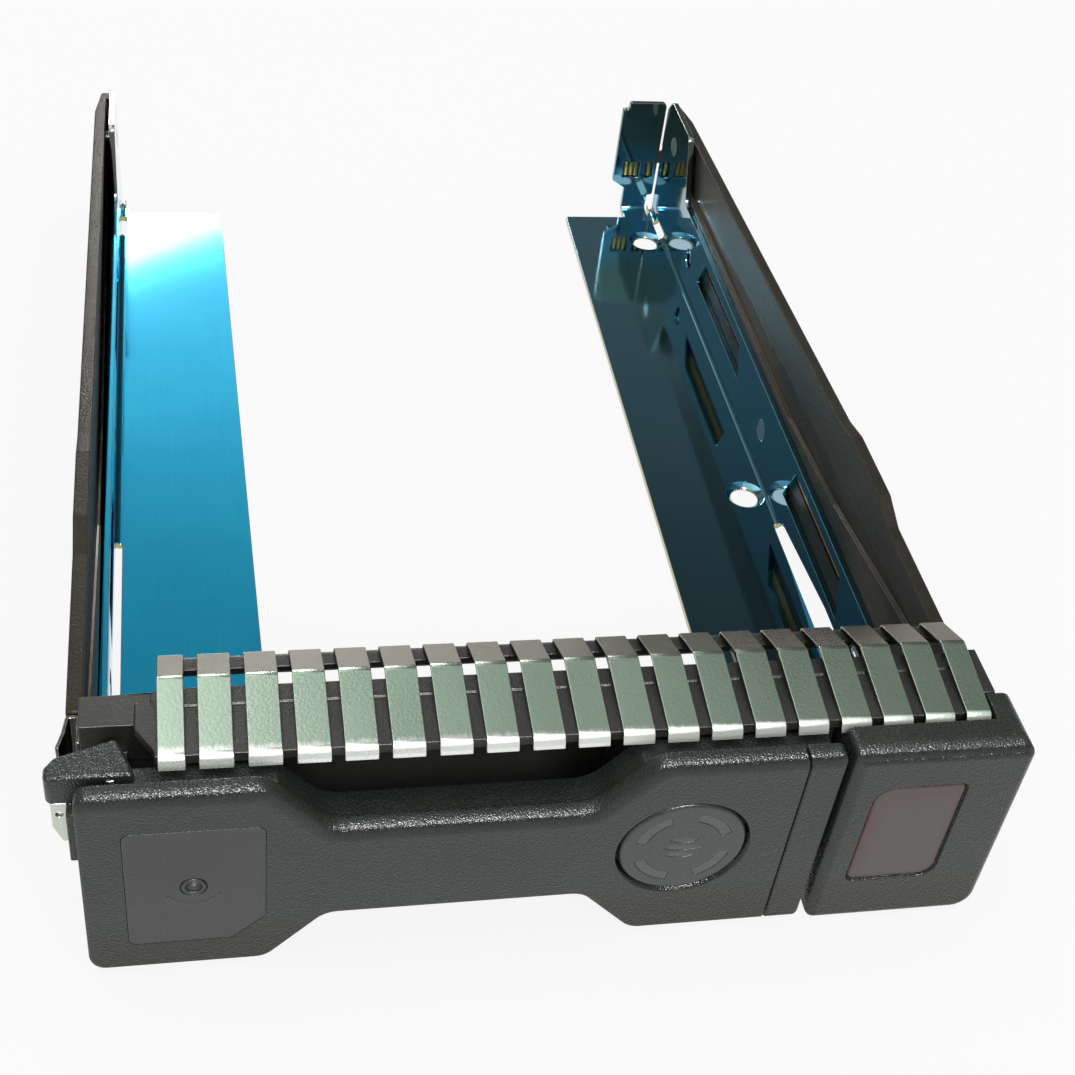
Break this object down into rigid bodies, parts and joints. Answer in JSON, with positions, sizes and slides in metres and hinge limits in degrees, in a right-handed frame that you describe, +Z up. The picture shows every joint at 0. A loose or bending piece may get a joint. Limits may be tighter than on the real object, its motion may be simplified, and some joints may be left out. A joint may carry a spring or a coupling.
{
  "type": "hot swap drive caddy",
  "caption": "U-shaped carrier for a 3.5-inch drive: steel rails with plastic guides, a front with grounding fingers, a hinged lever and a release button.",
  "frame": {"origin": "bottom centre of the whole caddy's box", "axes": "+X to the right seen from the front, +Y from the front into the chassis, +Z up"},
  "size_m": [0.1132, 0.173, 0.0318],
  "materials": {
    "rail_steel": "rolled sheet, satin",
    "guide_plastic": "glossy moulded black",
    "housing_plastic": "fine moulded grain",
    "bezel_plastic": "fine moulded grain",
    "lever_plastic": "fine moulded grain",
    "finger_steel": "brushed along the fingers",
    "clip_steel": "bright rolled strip",
    "tongue_steel": "satin",
    "button_plastic": "dull maroon",
    "catch_plastic": "moulded",
    "disc_lens": "satin lens",
    "light_inlay": "pale lens",
    "field_plastic": "smooth satin",
    "ring_plastic": "pale",
    "fastener_steel": "plated",
    "rivet_steel": "plated",
    "spring_steel": "drawn wire",
    "board_laminate": "green lacquer",
    "guide_clear": "clear moulded",
    "flex_film": "amber film",
    "connector_plastic": "moulded black",
    "contact_gilt": "gilt"
  },
  "bodies": {
    "tray": {"front_housing": "housing_plastic", "fixed_bezel": "bezel_plastic", "emi_finger_strip": "finger_steel", "tray_rail_left": "rail_steel", "tray_rail_right": "rail_steel", "side_guide_left": "guide_plastic", "side_guide_right": "guide_plastic", "side_spring_clip": "clip_steel", "contact_block": "connector_plastic", "contact_pins": "contact_gilt", "guide_rivets_left": "rivet_steel", "guide_rivets_right": "rivet_steel", "rail_screws": "fastener_steel", "bezel_screws": "fastener_steel", "lever_pin": "fastener_steel", "lever_spring": "spring_steel", "button_spring": "spring_steel", "catch_spring": "spring_steel", "led_board": "board_laminate", "light_guide": "guide_clear", "signal_flex": "flex_film"},
    "lever": {"lever_cover": "lever_plastic", "lever_frame": "lever_plastic", "lever_screws": "fastener_steel", "cam_plate": "tongue_steel", "status_disc": "disc_lens", "status_light_inlay": "light_inlay", "indicator_window": "field_plastic", "indicator_ring": "ring_plastic"},
    "button": {"release_button": "button_plastic"},
    "catch": {"lever_catch": "catch_plastic"}
  },
  "joints": [
    {"name": "lever_hinge", "type": "hinge", "parent": "tray", "child": "lever", "pos_m": [-0.0496, -0.0803, 0.015], "axis": [0, 0, -1], "range_deg": [0, 45], "deforming": ["lever_spring"]},
    {"name": "button_press", "type": "slide", "parent": "tray", "child": "button", "axis": [0, 1, 0], "range_m": [0, 0.0015], "stiffness_N_per_m": 400, "deforming": ["button_spring"]},
    {"name": "catch_slide", "type": "slide", "parent": "tray", "child": "catch", "axis": [1, 0, 0], "range_m": [0, 0.0015], "deforming": ["catch_spring"]}
  ],
  "couplings": [
    {"joint": "catch_slide", "follows": "button_press", "ratio": 1}
  ]
}
